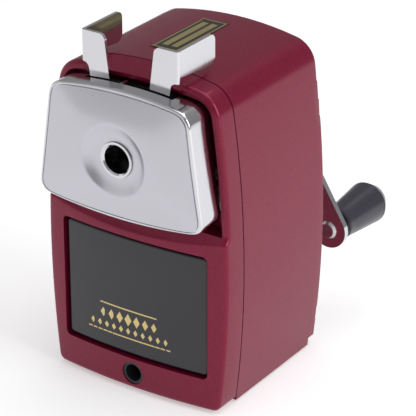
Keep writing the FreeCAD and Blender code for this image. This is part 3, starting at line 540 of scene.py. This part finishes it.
def rings_to_mesh(name, levels, first_notched):
    """Skin the rings, leaving the notches open from the given ring onwards."""
    count = len(levels[0])
    vertices = [tuple(c * MM for c in point) for ring in levels for point in ring]
    faces = []
    for level in range(len(levels) - 1):
        for index in range(count):
            after = (index + 1) % count
            if level >= first_notched and in_notch(levels[level][index], levels[level][after]):
                continue
            low = level * count
            high = low + count
            faces.append((low + index, high + index, high + after, low + after))
    mesh = bpy.data.meshes.new(name)
    mesh.from_pydata(vertices, [], faces)
    mesh.validate()
    return mesh


# ------------------------------------------------------------------ return springs

SPRING_WIRE = 0.35 * MM  # radius of the wire
SPRING_TURNS = 26


def return_springs():
    """Coils for the springs that run from the housing's rear to the head; each is one fixed mesh that does
    not follow the head.
    """
    for side in ("left", "right"):
        node = "return_spring_" + side
        low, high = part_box(node)
        centre = ((low[0] + high[0]) / 2, (low[2] + high[2]) / 2)
        radius = (high[0] - low[0]) / 2 - SPRING_WIRE
        mesh = coil_mesh(node + "_coil", centre, radius, high[1] - SPRING_WIRE, low[1] + SPRING_WIRE)
        thing = bpy.data.objects.new(node + "_coil", mesh)
        bpy.context.scene.collection.objects.link(thing)
        thing.data.materials.append(MATERIALS["steel"])
        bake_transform(thing)
        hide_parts(node)
        soften(thing, 60)


def coil_mesh(name, centre, radius, start, end):
    """Round wire wound about an axis along Y, closed at both ends."""
    around = 8
    per_turn = 20
    total = SPRING_TURNS * per_turn
    climb = Vector((0, (end - start) / total, 0))
    built = bmesh.new()
    rings = []
    for step in range(total + 1):
        angle = 2 * math.pi * step / per_turn
        outward = Vector((math.cos(angle), 0, math.sin(angle)))
        forward = Vector((-math.sin(angle), 0, math.cos(angle))) * (2 * math.pi * radius / per_turn) + climb
        sideways = forward.cross(outward).normalized()
        middle = Vector((centre[0], start, centre[1])) + outward * radius + climb * step
        ring = []
        for corner in range(around):
            turn = 2 * math.pi * corner / around
            offset = outward * math.cos(turn) + sideways * math.sin(turn)
            ring.append(built.verts.new(middle + offset * SPRING_WIRE))
        rings.append(ring)
    for first, last in zip(rings, rings[1:]):
        for corner in range(around):
            after = (corner + 1) % around
            built.faces.new((first[corner], first[after], last[after], last[corner]))
    built.faces.new(rings[0])
    built.faces.new(list(reversed(rings[-1])))
    bmesh.ops.recalc_face_normals(built, faces=built.faces)
    mesh = bpy.data.meshes.new(name)
    built.to_mesh(mesh)
    built.free()
    return mesh


# ------------------------------------------------------------------ ornaments

DRAWER_BOW = 438.0  # x squared over this is how far the drawer's front curves back, in mm
CROWN_CURVE = 0.00411  # times x squared, how far the shell's crown falls, in mm
ORNAMENT_X = -2.5
ORNAMENT_SUNK = 0.1  # the print's back lies this far behind the drawer's surface
ORNAMENT_PROUD = 0.04
BADGE = {"x": (-8.0, 3.0), "y": (-8.0, 24.0), "proud": 0.12}
BADGE_PRINT_TOP = 0.17


def bar(built, low, high):
    """Add a small box to a mesh under construction."""
    result = bmesh.ops.create_cube(built, size=1.0)
    for vertex in result["verts"]:
        for axis in range(3):
            middle = (low[axis] + high[axis]) / 2
            vertex.co[axis] = middle + vertex.co[axis] * (high[axis] - low[axis])


def lozenge(built, x, z, half_x, half_z, y_front, y_back):
    """Add a diamond-shaped chip facing -Y."""
    spots = [(x - half_x, z), (x, z - half_z), (x + half_x, z), (x, z + half_z)]
    front = [built.verts.new((a, y_front, b)) for a, b in spots]
    back = [built.verts.new((a, y_back, b)) for a, b in spots]
    built.faces.new(front)
    built.faces.new(list(reversed(back)))
    for index in range(4):
        after = (index + 1) % 4
        built.faces.new((front[after], front[index], back[index], back[after]))


def drawer_surface(x):
    """Y of the drawer's bowed front, in mm."""
    return FRONT_OF["drawer_tray"] + x * x / DRAWER_BOW


def drawer_ornament():
    """Printed gold rules and lozenges in place of the lettering."""
    built = bmesh.new()
    for half, z, height in ((12.0, 30.6, 0.5), (17.5, 19.6, 0.5)):
        strip_on_drawer(built, ORNAMENT_X - half, ORNAMENT_X + half, z, height)
    for step in range(7):
        x = ORNAMENT_X + (step - 3) * 3.6
        size = 1.5 - 0.12 * abs(step - 3)
        y = drawer_surface(x)
        front = (y - ORNAMENT_PROUD) * MM
        back = (y + ORNAMENT_SUNK) * MM
        lozenge(built, x * MM, 27.0 * MM, size * MM, 1.6 * size * MM, front, back)
    for step in range(11):
        x = ORNAMENT_X + (step - 5) * 3.1
        y = drawer_surface(x)
        front = (y - ORNAMENT_PROUD) * MM
        back = (y + ORNAMENT_SUNK) * MM
        lozenge(built, x * MM, 22.6 * MM, 0.9 * MM, 1.3 * MM, front, back)
    mesh = bpy.data.meshes.new("drawer_ornament")
    built.to_mesh(mesh)
    built.free()
    add_piece("drawer_ornament", mesh, "drawer", "gold")


def strip_on_drawer(built, start, end, z, height):
    """Add a level rule that follows the drawer's bow, as short bars."""
    steps = 16
    for step in range(steps):
        first = start + (end - start) * step / steps
        last = start + (end - start) * (step + 1) / steps
        y = drawer_surface((first + last) / 2)
        low = (first * MM, (y - ORNAMENT_PROUD) * MM, z * MM)
        high = (last * MM, (y + ORNAMENT_SUNK) * MM, (z + height) * MM)
        bar(built, low, high)


def crown_height(x):
    """Z of the shell's crown, in mm."""
    return CROWN_TOP - CROWN_CURVE * x * x


def badge():
    """Thin dark plate on the shell's top with a gold frame and two plain rules."""
    plate = bent_plate(*BADGE["x"], *BADGE["y"], BADGE["proud"])
    thing = add_piece("badge_plate", plate, "housing", "badge_black")
    soften(thing, 35)
    built = bmesh.new()
    for x0, x1, y0, y1 in (
        (-7.6, -7.0, -7.4, 23.4),
        (2.0, 2.6, -7.4, 23.4),
        (-7.6, 2.6, -7.4, -6.8),
        (-7.6, 2.6, 22.8, 23.4),
        (-5.6, -3.2, -4.4, 20.4),
        (-1.8, 0.6, -4.4, 20.4),
    ):
        top = crown_height((x0 + x1) / 2) + BADGE_PRINT_TOP
        low = (x0 * MM, y0 * MM, (top - BADGE["proud"]) * MM)
        bar(built, low, (x1 * MM, y1 * MM, top * MM))
    mesh = bpy.data.meshes.new("badge_gold")
    built.to_mesh(mesh)
    built.free()
    add_piece("badge_gold", mesh, "housing", "gold")


def bent_plate(x_low, x_high, y_low, y_high, proud):
    """Closed thin plate that follows the crown."""
    steps = 12
    rows = []
    for step in range(steps + 1):
        x = x_low + (x_high - x_low) * step / steps
        rows.append((x, crown_height(x)))
    vertices = []
    for x, z in rows:
        for y in (y_low, y_high):
            for height in (z - 0.05, z + proud):
                vertices.append((x * MM, y * MM, height * MM))
    faces = []
    for step in range(steps):
        base = step * 4
        after = base + 4
        faces.append((base + 1, after + 1, after + 3, base + 3))
        faces.append((base, base + 2, after + 2, after))
        faces.append((base, after, after + 1, base + 1))
        faces.append((base + 2, base + 3, after + 3, after + 2))
    faces.append((0, 1, 3, 2))
    last = steps * 4
    faces.append((last, last + 2, last + 3, last + 1))
    mesh = bpy.data.meshes.new("badge_plate")
    mesh.from_pydata(vertices, [], faces)
    mesh.validate()
    return mesh


# ------------------------------------------------------------------ stage

CAMERA_AZIMUTH = 33.92
CAMERA_ELEVATION = 25.70
CAMERA_LENS = 191.25  # mm, on a 36 mm sensor
CAMERA_TARGET = (0.0085, 0.0025, 0.0597)
CAMERA_DISTANCE = 0.7686


def floor():
    """A wide sheet at table height."""
    mesh = bpy.data.meshes.new("floor")
    mesh.from_pydata([(-3, -3, 0), (3, -3, 0), (3, 3, 0), (-3, 3, 0)], [], [(0, 1, 2, 3)])
    thing = bpy.data.objects.new("floor", mesh)
    bpy.context.scene.collection.objects.link(thing)
    thing.data.materials.append(MATERIALS["floor"])


def area_light(name, spot, aim, size, power):
    """A white rectangular light at a spot, turned towards the aim."""
    light = bpy.data.lights.new(name, "AREA")
    light.shape = "RECTANGLE"
    light.size = size[0]
    light.size_y = size[1]
    light.energy = power
    thing = bpy.data.objects.new(name, light)
    thing.location = spot
    direction = Vector(aim) - Vector(spot)
    thing.rotation_euler = direction.to_track_quat("-Z", "Y").to_euler()
    bpy.context.scene.collection.objects.link(thing)


def lights():
    """Five soft boxes aimed at the middle of the body; sizes in metres, powers in watts."""
    middle = (0, 0, 0.06)
    area_light("key", (-0.35, -0.9, 0.95), middle, (1.3, 1.3), 0.8)
    area_light("card", (-0.75, -1.1, 0.22), middle, (1.2, 0.5), 1.0)
    area_light("top", (0.15, 0.25, 1.05), middle, (0.9, 0.9), 4.0)
    area_light("side", (1.1, -0.05, 0.6), middle, (0.5, 0.9), 7.0)
    area_light("fill", (-1.0, -0.2, 0.4), middle, (0.5, 0.8), 0.8)


def world():
    """A pale studio sky that brightens upwards."""
    sky = bpy.data.worlds.new("studio")
    sky.use_nodes = True
    tree = sky.node_tree
    place = tree.nodes.new("ShaderNodeTexCoord")
    split = tree.nodes.new("ShaderNodeSeparateXYZ")
    ramp = tree.nodes.new("ShaderNodeValToRGB")
    ramp.color_ramp.elements[0].position = 0.45
    ramp.color_ramp.elements[0].color = (0.75, 0.75, 0.77, 1)
    ramp.color_ramp.elements[1].position = 1.0
    ramp.color_ramp.elements[1].color = (1.0, 1.0, 1.0, 1)
    remap = tree.nodes.new("ShaderNodeMapRange")
    remap.inputs["From Min"].default_value = -1.0
    remap.inputs["From Max"].default_value = 1.0
    tree.links.new(place.outputs["Generated"], split.inputs["Vector"])
    tree.links.new(split.outputs["Z"], remap.inputs["Value"])
    tree.links.new(remap.outputs["Result"], ramp.inputs["Fac"])
    background = tree.nodes["Background"]
    tree.links.new(ramp.outputs["Color"], background.inputs["Color"])
    background.inputs["Strength"].default_value = 0.36
    bpy.context.scene.world = sky


def camera():
    """The view fitted to the photograph."""
    lens = bpy.data.cameras.new("camera")
    lens.lens = CAMERA_LENS
    lens.sensor_width = 36.0
    lens.clip_start = 0.01
    lens.clip_end = 20.0
    thing = bpy.data.objects.new("camera", lens)
    azimuth = math.radians(CAMERA_AZIMUTH)
    elevation = math.radians(CAMERA_ELEVATION)
    target = Vector(CAMERA_TARGET)
    back = Vector((
        math.sin(azimuth) * math.cos(elevation),
        -math.cos(azimuth) * math.cos(elevation),
        math.sin(elevation),
    ))
    thing.location = target + back * CAMERA_DISTANCE
    thing.rotation_euler = (-back).to_track_quat("-Z", "Y").to_euler()
    bpy.context.scene.collection.objects.link(thing)
    bpy.context.scene.camera = thing


def write_sizes():
    """Bring the scene up to date once the looks are added."""
    bpy.context.view_layer.update()


dress_frame()
head_cover()
return_springs()
drawer_ornament()
badge()
floor()
lights()
world()
camera()
bpy.context.scene.view_settings.view_transform = "Standard"
write_sizes()
